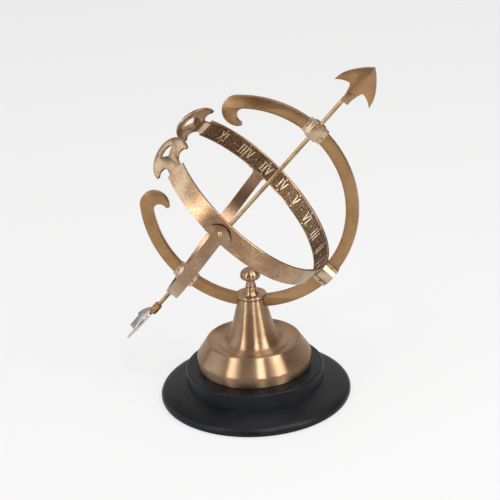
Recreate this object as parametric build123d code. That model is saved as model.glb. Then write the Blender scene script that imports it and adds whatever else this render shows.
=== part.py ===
"""Desk armillary sphere: a slotted brass stand on a turned wood base, a latitude ring
that slides in the slot, an hour band and a cross strap on it, and an arrow through the poles.

Millimetres. +Z up, origin at the centre of the underside of the base. The latitude ring
lies in the XZ plane, and the arrow rises towards +X.
"""
from build123d import *
import os
from math import asin, cos, degrees, radians, sin

# ---------------------------------------------------------------- wood base
FELT_RADIUS = 68.0
FELT_THICKNESS = 0.6
BASE_RADIUS = 75.5
BASE_LIP_HEIGHT = 3.2           # upright part of the edge above the felt
BASE_NOSE_HEIGHT = 9.2          # top of the rounded edge above the felt
BASE_NOSE_DEPTH = 8.0           # how far in the rounded edge reaches
BASE_NOSE_IN = 0.4              # where the rounded edge is two thirds up, as a part of the depth
BASE_TOP_SLOPE = 3.2            # rise of the top face from the edge to the step
STEP_RADIUS = 54.5
STEP_HEIGHT = 12.3
STEP_NOSE_RADIUS = 1.8

# ---------------------------------------------------------------- spun brass foot
FOOT_RADIUS = 43.6
FOOT_CREASE_RADIUS = 45.15
FOOT_CREASE_HEIGHT = 9.35
FOOT_RIM_RADIUS = 37.3
FOOT_RIM_HEIGHT = 22.3
FOOT_WALL = 1.4
DISH_DEPTH = 2.4                # the top sinks this far inside the rim
DISH_FLAT_RADIUS = 28.5

# ---------------------------------------------------------------- bell column and clamp
BELL_RADIUS = 27.5
BELL_FLANGE = 0.5
BELL_FLARE = [(0.613, 0.086), (0.387, 0.276), (0.232, 0.539), (0.09, 0.836)]
NECK_RADIUS = 10.4
NECK_WAIST_RADIUS = 12.0
NECK_WAIST_HEIGHT = 76.0        # heights in this block are above the origin
NECK_TOP = 84.4
CAP_RADIUS = 11.9
CAP_THICKNESS = 2.1
CAP_STEP = 0.5                  # the reduced land under the cap
BOSS_BASE_RADIUS = 5.3
BOSS_TOP_RADIUS = 3.9
BOSS_HEIGHT = 6.0
STUD_RADIUS = 2.0
KNOB_WAIST_RADIUS = 3.5
KNOB_RADIUS = 7.5
KNOB_BALL_HEIGHT = 10.4
KNOB_HEIGHT = 21.2              # above the cap
CAP_PIN_RADIUS = 0.75
CAP_PIN_LENGTH = 6.0
CAP_PIN_PITCH_RADIUS = 8.0
TIE_RADIUS = 3.0
TIE_DEPTH = 14.0                # of thread in the column
TIE_HEAD_RADIUS = 5.5
TIE_HEAD_HEIGHT = 4.0
WASHER_RADIUS = 9.0
WASHER_THICKNESS = 1.6
COUNTERBORE_RADIUS = 10.5
COUNTERBORE_DEPTH = 7.0

# ---------------------------------------------------------------- latitude ring
RING_RADIUS = 85.3
RING_WIDTH = 9.7
RING_THICKNESS = 4.4
RING_ASIDE = 0.9                # the ring's centre, to the side of the stand's axis
RING_SEAT = 0.2                 # the ring's lowest point above the floor of the slot
SLOT_FLOOR = 75.6
LEFT_HOOK_ANGLE = 183.1
TOP_HOOK_ANGLE = 93.2
HOOK_RADIUS = 11.6
HOOK_EYE_RADIUS = 5.8
HOOK_EYE_SHIFT = 4.1            # degrees round the ring, back towards the bar
HOOK_TIP_SHIFT = 2.1            # where the crescent is cut off square

# ---------------------------------------------------------------- saddles on the ring
SADDLE_LENGTH = 17.2
SADDLE_FLANGE = 1.1             # thickness of the sleeve on the ring's sides
SADDLE_PLATE = 0.8              # thickness over the ring's two edges
BOSS_RISE = 3.6                 # boss above the flanges
BOSS_FOOT = 12.6
BOSS_LAND = 7.4
EQUATOR_SADDLE_ANGLE = -42.7
SADDLE_PIN_RADIUS = 0.8
SADDLE_PIN_OFFSET = 6.9

# ---------------------------------------------------------------- arrow through the poles
LATITUDE = 48.63                # elevation of the arrow
ROD_OFFSET = 1.34               # the rod passes this far below the ring's centre
ROD_RADIUS = 1.6
ARROW_BEYOND = 26.7             # the arrowhead's stem starts this far outside the ring
TENON_LENGTH = 7.0
ARROW_SET = 1.6                 # the arrowhead sits this far below the rod's line
ARROW_LENGTH = 34.6
ARROW_HALF_WIDTH = 16.4
ARROW_THICKNESS = 2.8
ARROW_STEM_WIDTH = 6.4
ARROW_BARB_START = 8.6
ARROW_SOCKET_LENGTH = 9.0
ARROW_SOCKET_THICKNESS = 4.4
TENON_RADIUS = 1.2
FERRULE_BEYOND = 31.9           # outside the ring
FERRULE_LENGTH = 9.4
ROD_IN_FERRULE = 5.8
FERRULE_RADIUS = 3.2
TAIL_LENGTH = 27.0
TAIL_FIRST_BARB = 15.0          # along the tail from the ferrule
TAIL_HALF_WIDTH = 12.0          # at the first barb
TAIL_END_HALF_WIDTH = 9.7
TAIL_SHOULDER = 5.5             # half width where the tail leaves the ferrule
TAIL_SWALLOW = 4.0              # depth of the notch in the end
TAIL_THICKNESS = 1.6
TAIL_ROOT = 2.0                 # half width of the stem in the ferrule
TAIL_TONGUE = 3.4               # stem inside the ferrule
TAIL_TURN = 12.0                # turn of the tail about the rod
TAIL_FOLD = 22.0                # each half of the tail rises this far from flat
COLLAR_RADIUS = 5.2
COLLAR_ROUND = 1.0
NUT_RADIUS = 3.2
NUT_LENGTH = 4.4

# ---------------------------------------------------------------- hour band
BAND_BITE = 1.8                 # the band's outside, beyond the ring's inside
BAND_THICKNESS = 2.0
BAND_WIDTH = 16.1
BAND_TILT = 45.57               # elevation of the band's axis
BAND_SKEW = 3.18                # turn of the band's axis about Z
BAND_LIFT = 2.29                # band centre along the rod from the ring's centre
BAND_INSET = 2.6                # band centre back from the equator saddle
BAND_END_NEAR = -137.3          # degrees round the band from the equator saddle
BAND_END_FAR = 139.3
BAND_SEAT = 0.05
RIVET_RADIUS = 1.0
RIVET_HEAD_RADIUS = 1.9
RIVET_HEAD_HEIGHT = 0.9
RIVET_DEPTH = 5.0
ANCHOR_NECK_WIDTH = 11.2
ANCHOR_LENGTH = 27.3            # beyond the end of the band
ANCHOR_REACH = 16.3             # half length and half width of the oval body
ANCHOR_HALF_WIDTH = 17.6
ANCHOR_HORNS = 7.3              # the horns' tips, from the end of the band
ANCHOR_NOTCH_RADIUS = 5.1
ANCHOR_NOTCH = 4.7              # notch centre, from the end of the band
ANCHOR_RIM = 4.9                # between the opening and the outer edge
ANCHOR_OPENING_HALF = 6.9
ANCHOR_OPENING_LENGTH = 7.5

# ---------------------------------------------------------------- cross strap
STRAP_WIDTH = 9.6
STRAP_THICKNESS = 2.0
STRAP_GAP = 0.5                 # between the band's outside and the strap's inside
STRAP_BEYOND = 4.2              # inside of the strap at the south pole, outside the ring
STRAP_TILT = 3.9                # the strap leans this far off the rod's line
STRAP_SKEW = 0.65               # turn of the strap about its own middle line
STRAP_BARBS_NEAR = 0.6          # barbs of each end beyond the ring's centre
STRAP_BARBS_FAR = -8.9
STRAP_CROWN = 10.2              # crown of each end beyond its barbs
STRAP_BARB_HALF_WIDTH = 10.4
STRAP_SCREW = 4.6               # beyond the barbs
SCREW_RADIUS = 1.1
SCREW_HEAD_RADIUS = 1.8
SCREW_HEAD_HEIGHT = 0.9

# ---------------------------------------------------------------- fits
SLIDE_CLEARANCE = 0.2           # ring in the slot, each side
RUN_CLEARANCE = 0.05            # rod in its bores, stud in its boss, on the radius
END_CLEARANCE = 0.3             # collar and nut against what they turn on
STUD_TIP_GAP = 0.1

# ---------------------------------------------------------------- derived places
BASE_BOTTOM = FELT_THICKNESS
STEP_BOTTOM = BASE_BOTTOM + BASE_NOSE_HEIGHT + BASE_TOP_SLOPE
STEP_TOP = STEP_BOTTOM + STEP_HEIGHT
FOOT_RIM = STEP_TOP + FOOT_RIM_HEIGHT
DISH_FLOOR = FOOT_RIM - DISH_DEPTH
RING_INNER = RING_RADIUS - RING_WIDTH
RING_Z = SLOT_FLOOR + RING_SEAT + RING_RADIUS
CAP_TOP = NECK_TOP + CAP_THICKNESS
BAND_RADIUS = RING_INNER + BAND_BITE
BAND_INNER = BAND_RADIUS - BAND_THICKNESS
BAND_MIDDLE = BAND_RADIUS - BAND_THICKNESS / 2
SADDLE_TOP = RING_RADIUS + SADDLE_PLATE
STRAP_INNER = BAND_RADIUS + STRAP_GAP
STRAP_REACH = RING_RADIUS + STRAP_BEYOND
ARROW_START = RING_RADIUS + ARROW_BEYOND
ROD_NORTH = ARROW_START + TENON_LENGTH
FERRULE_START = RING_RADIUS + FERRULE_BEYOND
ROD_SOUTH = FERRULE_START + ROD_IN_FERRULE

ACROSS = Vector(0, 1, 0)
RING_CENTRE = Vector(RING_ASIDE, 0, RING_Z)
ROD_WAY = Vector(cos(radians(LATITUDE)), 0, sin(radians(LATITUDE)))
ROD_SIDE = Vector(sin(radians(LATITUDE)), 0, -cos(radians(LATITUDE)))
ROD_CENTRE = RING_CENTRE + ROD_SIDE * ROD_OFFSET
BAND_AXIS = Vector(
    cos(radians(BAND_TILT)) * cos(radians(BAND_SKEW)),
    cos(radians(BAND_TILT)) * sin(radians(BAND_SKEW)),
    sin(radians(BAND_TILT)),
)
BAND_CENTRE = RING_CENTRE + ROD_WAY * BAND_LIFT - ROD_SIDE * BAND_INSET
STRAP_WAY = ROD_WAY * cos(radians(STRAP_TILT)) - ROD_SIDE * sin(radians(STRAP_TILT))
STRAP_ACROSS = ACROSS * cos(radians(STRAP_SKEW)) + ACROSS.cross(STRAP_WAY) * sin(radians(STRAP_SKEW))
STRAP_POLE = ROD_CENTRE - ROD_WAY * STRAP_REACH

RING_PLANE = Plane(origin=RING_CENTRE, x_dir=(1, 0, 0), z_dir=(0, -1, 0))
BAND_PLANE = Plane(origin=BAND_CENTRE, x_dir=ACROSS.cross(BAND_AXIS), z_dir=BAND_AXIS)
STRAP_PLANE = Plane(
    origin=STRAP_POLE + STRAP_WAY * STRAP_REACH,
    x_dir=STRAP_WAY * -1,
    z_dir=STRAP_WAY.cross(STRAP_ACROSS),
)


def polar(radius, angle):
    """A point in a plane, from a radius and an angle in degrees."""
    return (radius * cos(radians(angle)), radius * sin(radians(angle)))


def drum(radius, bottom, top):
    """An upright cylinder on the stand's axis."""
    return extrude(Plane.XY.offset(bottom) * Circle(radius), top - bottom)


def turned(outline):
    """A solid of revolution about Z from a closed outline in the XZ half plane."""
    return revolve(Plane.XZ * make_face(outline), Axis.Z)


def rod_cylinder(radius, start, end):
    """A cylinder on the rod's line, from start to end along it."""
    plane = Plane(origin=ROD_CENTRE + ROD_WAY * start, z_dir=ROD_WAY)
    return extrude(plane * Circle(radius), end - start)


def sector(radius, start, end):
    """A fan-shaped face from start to end degrees, reaching past the radius."""
    steps = 8
    reach = 2 * radius
    points = [(0, 0)]
    for step in range(steps + 1):
        points.append(polar(reach, start + (end - start) * step / steps))
    return make_face(Polyline(points, close=True))


# ---------------------------------------------------------------- stand
def felt_pad():
    return drum(FELT_RADIUS, 0, FELT_THICKNESS)


def wood_base():
    """Lower disc with a bull-nosed edge and a raised step, bored for the tie bolt."""
    lip = (BASE_RADIUS, BASE_BOTTOM + BASE_LIP_HEIGHT)
    nose = (BASE_RADIUS - BASE_NOSE_DEPTH, BASE_BOTTOM + BASE_NOSE_HEIGHT)
    middle = (
        lip[0] - BASE_NOSE_DEPTH * BASE_NOSE_IN,
        lip[1] + (nose[1] - lip[1]) * 0.66,
    )
    slope = BASE_TOP_SLOPE / (nose[0] - STEP_RADIUS)
    step_nose = STEP_NOSE_RADIUS
    outline = [
        Polyline((0, BASE_BOTTOM), (BASE_RADIUS - 1.0, BASE_BOTTOM), (BASE_RADIUS, BASE_BOTTOM + 1.2), lip),
        Spline(lip, middle, nose, tangents=[(0, 1), (-1, slope)]),
        Polyline(nose, (STEP_RADIUS, STEP_BOTTOM), (STEP_RADIUS, STEP_TOP - step_nose)),
        JernArc((STEP_RADIUS, STEP_TOP - step_nose), (0, 1), step_nose, 90),
        Polyline((STEP_RADIUS - step_nose, STEP_TOP), (0, STEP_TOP), (0, BASE_BOTTOM)),
    ]
    body = turned(outline)
    body -= drum(TIE_RADIUS + SLIDE_CLEARANCE, BASE_BOTTOM, STEP_TOP)
    return body - drum(COUNTERBORE_RADIUS, BASE_BOTTOM, BASE_BOTTOM + COUNTERBORE_DEPTH)


def foot_shell():
    """Spun brass foot: tapered band, crease, cone to the rim and a dished top."""
    crease = STEP_TOP + FOOT_CREASE_HEIGHT
    wall = FOOT_WALL
    outer = [
        (0, STEP_TOP),
        (FOOT_RADIUS, STEP_TOP),
        (FOOT_CREASE_RADIUS, crease),
        (FOOT_RIM_RADIUS, FOOT_RIM),
        (FOOT_RIM_RADIUS - wall, FOOT_RIM),
        (DISH_FLAT_RADIUS, DISH_FLOOR),
        (0, DISH_FLOOR),
    ]
    inner = [
        (0, STEP_TOP),
        (FOOT_RADIUS - wall, STEP_TOP),
        (FOOT_CREASE_RADIUS - wall, crease),
        (FOOT_RIM_RADIUS - 1.6 * wall, FOOT_RIM - 2 * wall),
        (DISH_FLAT_RADIUS, DISH_FLOOR - wall),
        (0, DISH_FLOOR - wall),
    ]
    body = turned(Polyline(outer, close=True)) - turned(Polyline(inner, close=True))
    return body - drum(TIE_RADIUS + SLIDE_CLEARANCE, STEP_TOP, FOOT_RIM)


def ring_slot():
    """What the latitude ring's slot takes out of the neck and its cap."""
    half = RING_THICKNESS / 2 + SLIDE_CLEARANCE
    reach = 2 * BELL_RADIUS
    cheeks = Pos(0, 0, SLOT_FLOOR + reach / 2) * Box(reach, 2 * half, reach)
    inner = RING_PLANE * Circle(RING_INNER - SLIDE_CLEARANCE)
    return cheeks - extrude(inner, half, both=True)


def bell_column():
    """Trumpet-shaped column, slotted at the top for the ring, threaded below."""
    waist = (NECK_WAIST_RADIUS, NECK_WAIST_HEIGHT)
    foot = (BELL_RADIUS, DISH_FLOOR + BELL_FLANGE)
    rise = waist[1] - foot[1]
    flare_points = [
        (waist[0] + out * (foot[0] - waist[0]), foot[1] + up * rise) for out, up in BELL_FLARE
    ]
    neck_slope = (NECK_RADIUS - waist[0]) / (NECK_TOP - 2 * CAP_STEP - waist[1])
    flare = Spline(foot, *flare_points, waist, tangents=[(-1, 0.12), (neck_slope, 1)])
    outline = [
        Polyline((0, DISH_FLOOR), (BELL_RADIUS, DISH_FLOOR), foot),
        flare,
        Polyline(
            waist,
            (NECK_RADIUS, NECK_TOP - 2 * CAP_STEP),
            (NECK_RADIUS - CAP_STEP, NECK_TOP - 2 * CAP_STEP),
            (NECK_RADIUS - CAP_STEP, NECK_TOP),
            (0, NECK_TOP),
            (0, DISH_FLOOR),
        ),
    ]
    body = turned(outline) - ring_slot()
    body -= drum(TIE_RADIUS, DISH_FLOOR, DISH_FLOOR + TIE_DEPTH)
    return body - pin_holes()


def pin_holes():
    """Two dowels through the cap into the cheeks of the neck."""
    top = CAP_TOP - CAP_STEP
    pins = None
    for side in (-1, 1):
        plane = Plane(origin=(0, side * CAP_PIN_PITCH_RADIUS, top - CAP_PIN_LENGTH))
        pin = extrude(plane * Circle(CAP_PIN_RADIUS), CAP_PIN_LENGTH)
        pins = pin if pins is None else pins + pin
    return pins


def neck_cap():
    """Cap over the slot, turned in one with the threaded boss of the clamp."""
    boss_top = CAP_TOP + BOSS_HEIGHT
    outline = [
        Polyline((0, NECK_TOP), (CAP_RADIUS, NECK_TOP), (CAP_RADIUS, CAP_TOP), (BOSS_BASE_RADIUS, CAP_TOP)),
        ThreePointArc(
            (BOSS_BASE_RADIUS, CAP_TOP),
            (BOSS_TOP_RADIUS + 0.3, CAP_TOP + BOSS_HEIGHT * 0.4),
            (BOSS_TOP_RADIUS, boss_top),
        ),
        Polyline((BOSS_TOP_RADIUS, boss_top), (0, boss_top), (0, NECK_TOP)),
    ]
    body = turned(outline) - ring_slot()
    body -= drum(STUD_RADIUS + RUN_CLEARANCE, NECK_TOP, boss_top)
    return body - pin_holes()


def tie_washer():
    seat = BASE_BOTTOM + COUNTERBORE_DEPTH
    washer = drum(WASHER_RADIUS, seat - WASHER_THICKNESS, seat)
    return washer - drum(TIE_RADIUS + SLIDE_CLEARANCE, seat - WASHER_THICKNESS, seat)


def tie_bolt():
    """Hexagon bolt from under the base into the column."""
    seat = BASE_BOTTOM + COUNTERBORE_DEPTH - WASHER_THICKNESS
    head = Plane.XY.offset(seat - TIE_HEAD_HEIGHT) * RegularPolygon(TIE_HEAD_RADIUS, 6)
    bolt = extrude(head, TIE_HEAD_HEIGHT)
    return bolt + drum(TIE_RADIUS, seat, DISH_FLOOR + TIE_DEPTH)


# ---------------------------------------------------------------- clamp
def clamp_knob():
    """Flattened ball on a short stem, with a blind threaded hole for the stud."""
    bottom = CAP_TOP + BOSS_HEIGHT + END_CLEARANCE
    ball = CAP_TOP + KNOB_BALL_HEIGHT
    top = CAP_TOP + KNOB_HEIGHT
    middle = (ball + top) / 2
    outline = [
        Polyline((0, bottom), (KNOB_WAIST_RADIUS, bottom), (KNOB_WAIST_RADIUS, ball)),
        ThreePointArc((KNOB_WAIST_RADIUS, ball), (KNOB_RADIUS, middle), (KNOB_WAIST_RADIUS, top)),
        Polyline((KNOB_WAIST_RADIUS, top), (0, top), (0, bottom)),
    ]
    return turned(outline) - drum(STUD_RADIUS, bottom, ball)


def clamp_stud():
    """Threaded stud, fixed in the knob, that bears on the ring's inner edge."""
    tip = RING_Z - RING_INNER + STUD_TIP_GAP
    return drum(STUD_RADIUS, tip, CAP_TOP + KNOB_BALL_HEIGHT)


# ---------------------------------------------------------------- latitude ring
def hook(angle, bar_side):
    """A crescent that curls inwards at one end of the ring."""
    eye_angle = angle + bar_side * HOOK_EYE_SHIFT
    tip_angle = angle + bar_side * HOOK_TIP_SHIFT
    disc = Pos(*polar(RING_RADIUS - HOOK_RADIUS, angle)) * Circle(HOOK_RADIUS)
    eye = Pos(*polar(RING_INNER - HOOK_EYE_RADIUS, eye_angle)) * Circle(HOOK_EYE_RADIUS)
    reach = 2 * RING_RADIUS
    behind = Rot(0, 0, tip_angle) * Pos(0, bar_side * reach / 2) * Rectangle(2 * reach, reach)
    return disc - eye - behind


def meridian_ring():
    """Flat C-shaped ring with a crescent at each end, bored for the rod and the rivet."""
    face = Circle(RING_RADIUS) - Circle(RING_INNER)
    face -= sector(RING_RADIUS, TOP_HOOK_ANGLE, LEFT_HOOK_ANGLE)
    face += hook(LEFT_HOOK_ANGLE, 1)
    face += hook(TOP_HOOK_ANGLE, -1)
    body = extrude(RING_PLANE * face, RING_THICKNESS / 2, both=True)
    body -= rod_bore()
    body -= band_rivet()
    return body - saddle_pins()


def rod_bore():
    """The rod's running bore, from pole to pole through everything on the ring."""
    reach = STRAP_REACH + 2 * STRAP_WIDTH
    return rod_cylinder(ROD_RADIUS + RUN_CLEARANCE, -reach, reach)


def saddle_frame(angle):
    """Plane at the ring's centre: x along the ring, y across it, z outwards."""
    out = Vector(cos(radians(angle)), 0, sin(radians(angle)))
    return Plane(origin=RING_CENTRE, x_dir=out.cross(ACROSS), z_dir=out)


def pole_angle(side):
    """Angle on the ring at which the rod crosses it; side is 1 north, -1 south."""
    middle = RING_RADIUS - RING_WIDTH / 2
    lean = degrees(asin(ROD_OFFSET / middle))
    if side > 0:
        return LATITUDE - lean
    return LATITUDE + 180 + lean


def saddle_blank(angle):
    """Cast sleeve with a raised boss on each side of the ring, before it is bored."""
    flange = RING_THICKNESS / 2 + SADDLE_FLANGE
    half = [
        (SADDLE_LENGTH / 2, flange),
        (BOSS_FOOT / 2, flange),
        (BOSS_LAND / 2, flange + BOSS_RISE),
        (-BOSS_LAND / 2, flange + BOSS_RISE),
        (-BOSS_FOOT / 2, flange),
        (-SADDLE_LENGTH / 2, flange),
    ]
    outline = half + [(-x, -y) for x, y in half]
    frame = saddle_frame(angle)
    start = frame.offset(RING_INNER - SADDLE_PLATE)
    block = extrude(start * make_face(Polyline(outline, close=True)), RING_WIDTH + 2 * SADDLE_PLATE)
    channel = Circle(RING_RADIUS) - Circle(RING_INNER)
    return block - extrude(RING_PLANE * channel, RING_THICKNESS / 2, both=True)


def pole_saddle(side):
    body = saddle_blank(pole_angle(side)) - rod_bore()
    return body - saddle_pins()


def equator_saddle():
    """As the pole saddles, hollowed to seat the hour band."""
    band_side = extrude(BAND_PLANE * Circle(BAND_RADIUS + BAND_SEAT), 2 * BAND_WIDTH, both=True)
    body = saddle_blank(EQUATOR_SADDLE_ANGLE) - band_side
    return body - band_rivet() - saddle_pins()


def saddle_angles():
    return [pole_angle(1), pole_angle(-1), EQUATOR_SADDLE_ANGLE]


def saddle_pins():
    """Two cross pins through each saddle and the ring, filed flush."""
    half = RING_THICKNESS / 2 + SADDLE_FLANGE
    middle = RING_RADIUS - RING_WIDTH / 2
    pins = None
    for angle in saddle_angles():
        frame = saddle_frame(angle)
        for side in (-1, 1):
            place = frame.origin + frame.z_dir * middle + frame.x_dir * side * SADDLE_PIN_OFFSET
            plane = Plane(origin=place, z_dir=(0, 1, 0))
            pin = extrude(plane * Circle(SADDLE_PIN_RADIUS), half, both=True)
            pins = pin if pins is None else pins + pin
    return pins


# ---------------------------------------------------------------- hour band
def rivet_frame():
    """Plane on the band's inside at the equator saddle, z outwards."""
    out = BAND_PLANE.x_dir
    return Plane(origin=BAND_CENTRE + out * BAND_INNER, z_dir=out)


def band_rivet():
    """Countersunk rivet through the band into the ring's inner edge."""
    frame = rivet_frame()
    shank = extrude(frame * Circle(RIVET_RADIUS), BAND_THICKNESS + RIVET_DEPTH)
    head = Solid.make_cone(RIVET_HEAD_RADIUS, RIVET_RADIUS, RIVET_HEAD_HEIGHT, frame)
    return shank + head


def anchor_face():
    """Flat pattern of a band end: neck, oval anchor with two horns, and an opening."""
    oval = Pos(ANCHOR_LENGTH - ANCHOR_REACH, 0) * Ellipse(ANCHOR_REACH, ANCHOR_HALF_WIDTH)
    behind = Pos(ANCHOR_HORNS - ANCHOR_LENGTH, 0) * Rectangle(2 * ANCHOR_LENGTH, 3 * ANCHOR_LENGTH)
    face = oval - behind
    neck_end = ANCHOR_NOTCH + ANCHOR_NOTCH_RADIUS
    face += Pos(neck_end / 2 - 1, 0) * Rectangle(neck_end + 2, ANCHOR_NECK_WIDTH)
    for side in (-1, 1):
        notch_y = side * (ANCHOR_NECK_WIDTH / 2 + ANCHOR_NOTCH_RADIUS)
        face -= Pos(ANCHOR_NOTCH, notch_y) * Circle(ANCHOR_NOTCH_RADIUS)
    rim = ANCHOR_LENGTH - ANCHOR_RIM
    left = (rim - 0.37 * ANCHOR_OPENING_LENGTH, -ANCHOR_OPENING_HALF)
    right = (left[0], ANCHOR_OPENING_HALF)
    cusp = (rim - ANCHOR_OPENING_LENGTH, 0)
    middle = rim - 0.69 * ANCHOR_OPENING_LENGTH
    opening = [
        ThreePointArc(left, (rim, 0), right),
        ThreePointArc(right, (middle, 0.46 * ANCHOR_OPENING_HALF), cusp),
        ThreePointArc(cusp, (middle, -0.46 * ANCHOR_OPENING_HALF), left),
    ]
    return face - make_face(opening)


def anchor(end_angle):
    """A flat anchor that carries straight on from one end of the band."""
    side = 1 if end_angle > 0 else -1
    out = BAND_PLANE.x_dir * cos(radians(end_angle)) + BAND_PLANE.y_dir * sin(radians(end_angle))
    along = BAND_PLANE.y_dir * cos(radians(end_angle)) - BAND_PLANE.x_dir * sin(radians(end_angle))
    plane = Plane(origin=BAND_CENTRE + out * BAND_MIDDLE, x_dir=along * side, z_dir=out)
    return extrude(plane * anchor_face(), BAND_THICKNESS / 2, both=True)


def equator_band():
    """Open hour band with an anchor at each end, bored for the rivet and strap screws."""
    seam_in_opening = Rot(0, 0, 180)
    ring = seam_in_opening * (Circle(BAND_RADIUS) - Circle(BAND_INNER))
    ring -= sector(BAND_RADIUS, BAND_END_FAR, 360 + BAND_END_NEAR)
    body = extrude(BAND_PLANE * ring, BAND_WIDTH / 2, both=True)
    body += anchor(BAND_END_NEAR)
    body += anchor(BAND_END_FAR)
    return body - band_rivet() - strap_screws()


# ---------------------------------------------------------------- cross strap
def strap_barbs(side):
    """How far the barbs of one end lie beyond the ring's centre; side is 1 far, -1 near."""
    return STRAP_BARBS_FAR if side > 0 else STRAP_BARBS_NEAR


def strap_end_face():
    """Axe-shaped end of the strap: x north along the strap from the barbs, y across it."""
    half = STRAP_WIDTH / 2
    barb = (0, STRAP_BARB_HALF_WIDTH)
    root = (-6.6, half)
    crown = (STRAP_CROWN, 0)
    shoulder = (0.69 * STRAP_CROWN, 0.63 * STRAP_BARB_HALF_WIDTH)
    lines = []
    for side in (1, -1):
        flip = [(x, side * y) for x, y in (root, barb, shoulder, crown)]
        lines.append(ThreePointArc(flip[0], (-2.8, side * (half + 1.6)), flip[1]))
        lines.append(ThreePointArc(flip[1], flip[2], flip[3]))
    lines.append(Line((root[0], -half), (root[0], half)))
    return make_face(lines)


def hour_strap():
    """Half hoop outside the ring, from one side of the band round the south pole."""
    outer = STRAP_INNER + STRAP_THICKNESS
    centre = STRAP_REACH - STRAP_INNER
    hoop = Pos(centre, 0) * (Circle(outer) - Circle(STRAP_INNER))
    hoop -= Pos(centre - outer, 0) * Rectangle(2 * outer, 3 * outer)
    for side in (-1, 1):
        arm = centre + strap_barbs(side) + STRAP_CROWN / 3
        middle_y = side * (STRAP_INNER + STRAP_THICKNESS / 2)
        hoop += Pos(centre - arm / 2, middle_y) * Rectangle(arm, STRAP_THICKNESS)
    body = extrude(STRAP_PLANE * hoop, STRAP_WIDTH / 2, both=True)
    for side in (-1, 1):
        origin = STRAP_PLANE.origin + STRAP_ACROSS * side * STRAP_INNER + STRAP_WAY * strap_barbs(side)
        plane = Plane(origin=origin, x_dir=STRAP_WAY, z_dir=STRAP_ACROSS * side)
        body += extrude(plane * strap_end_face(), STRAP_THICKNESS)
    return body - rod_bore() - strap_screws()


def strap_screws():
    """A round-headed screw through each end of the strap into the band."""
    outer = STRAP_INNER + STRAP_THICKNESS
    screws = None
    for side in (-1, 1):
        place = STRAP_PLANE.origin + STRAP_WAY * (strap_barbs(side) + STRAP_SCREW)
        seat = Plane(origin=place + STRAP_ACROSS * side * outer, z_dir=STRAP_ACROSS * side)
        shank = extrude(seat * Circle(SCREW_RADIUS), -(outer - BAND_INNER + 1.2))
        head = extrude(seat * Circle(SCREW_HEAD_RADIUS), SCREW_HEAD_HEIGHT)
        screw = shank + head
        screws = screw if screws is None else screws + screw
    return screws


# ---------------------------------------------------------------- arrow
def gnomon_rod():
    rod = rod_cylinder(ROD_RADIUS, -ROD_SOUTH, ARROW_START)
    return rod + rod_cylinder(TENON_RADIUS, ARROW_START, ROD_NORTH)


def arrow_outline():
    """Broad arrowhead: stem, rounded cut-outs behind the barbs and curved edges."""
    stem = ARROW_STEM_WIDTH / 2
    barb = (ARROW_BARB_START, ARROW_HALF_WIDTH)
    throat = (ARROW_BARB_START + 5.0, stem + 3.6)
    tip = (ARROW_LENGTH, 0)
    lines = []
    for side in (1, -1):
        root = (2.6, side * stem)
        lines.append(Line((0, side * stem), root))
        lines.append(Spline(
            root,
            (throat[0], side * throat[1]),
            (barb[0], side * barb[1]),
            tangents=[(1, side * 0.05), (-0.8, side * 1)],
        ))
        lines.append(ThreePointArc(
            (barb[0], side * barb[1]),
            (ARROW_LENGTH * 0.66, side * ARROW_HALF_WIDTH * 0.67),
            tip,
        ))
    lines.append(Line((0, -stem), (0, stem)))
    return make_face(lines)


def arrowhead():
    """Flat arrowhead with a thicker socket that takes the rod's tenon."""
    origin = ROD_CENTRE + ROD_WAY * ARROW_START + ROD_SIDE * ARROW_SET
    plane = Plane(origin=origin, x_dir=ROD_WAY, z_dir=ROD_SIDE.cross(ROD_WAY))
    blade = extrude(plane * arrow_outline(), ARROW_THICKNESS / 2, both=True)
    socket_face = Pos(ARROW_SOCKET_LENGTH / 2, 0) * Rectangle(ARROW_SOCKET_LENGTH, ARROW_STEM_WIDTH)
    socket = extrude(plane * socket_face, ARROW_SOCKET_THICKNESS / 2, both=True)
    return blade + socket - rod_cylinder(TENON_RADIUS, ARROW_START, ROD_NORTH)


def tail_ferrule():
    """Turned sleeve: bored for the rod at one end, slotted for the tail at the other."""
    end = FERRULE_START + FERRULE_LENGTH
    body = rod_cylinder(FERRULE_RADIUS, -end, -FERRULE_START)
    body -= rod_cylinder(ROD_RADIUS, -ROD_SOUTH, -FERRULE_START)
    return body - tail_fletching()


def tail_vane(side):
    """Half of the tail, from just past the rod's line to its two barbs; side is 1 or -1."""
    outline = [
        Line((-TAIL_TONGUE, 0), (-TAIL_TONGUE, TAIL_ROOT)),
        Line((-TAIL_TONGUE, TAIL_ROOT), (0, TAIL_ROOT)),
        Line((0, TAIL_ROOT), (0, TAIL_SHOULDER)),
        ThreePointArc(
            (0, TAIL_SHOULDER),
            (TAIL_FIRST_BARB * 0.45, TAIL_HALF_WIDTH * 0.8),
            (TAIL_FIRST_BARB, TAIL_HALF_WIDTH),
        ),
        Line((TAIL_FIRST_BARB, TAIL_HALF_WIDTH), (TAIL_FIRST_BARB, TAIL_END_HALF_WIDTH)),
        Line((TAIL_FIRST_BARB, TAIL_END_HALF_WIDTH), (TAIL_LENGTH, TAIL_END_HALF_WIDTH)),
        Line((TAIL_LENGTH, TAIL_END_HALF_WIDTH), (TAIL_LENGTH - TAIL_SWALLOW, 0)),
        Line((TAIL_LENGTH - TAIL_SWALLOW, 0), (-TAIL_TONGUE, 0)),
    ]
    face = make_face(outline)
    rise = TAIL_TURN * side + TAIL_FOLD
    lift = Vector(ROD_SIDE) * -1
    across = ACROSS * side * cos(radians(rise)) + lift * sin(radians(rise))
    end = FERRULE_START + FERRULE_LENGTH
    plane = Plane(
        origin=ROD_CENTRE - ROD_WAY * end,
        x_dir=ROD_WAY * -1,
        z_dir=(ROD_WAY * -1).cross(across),
    )
    return extrude(plane * face, TAIL_THICKNESS / 2, both=True)


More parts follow.
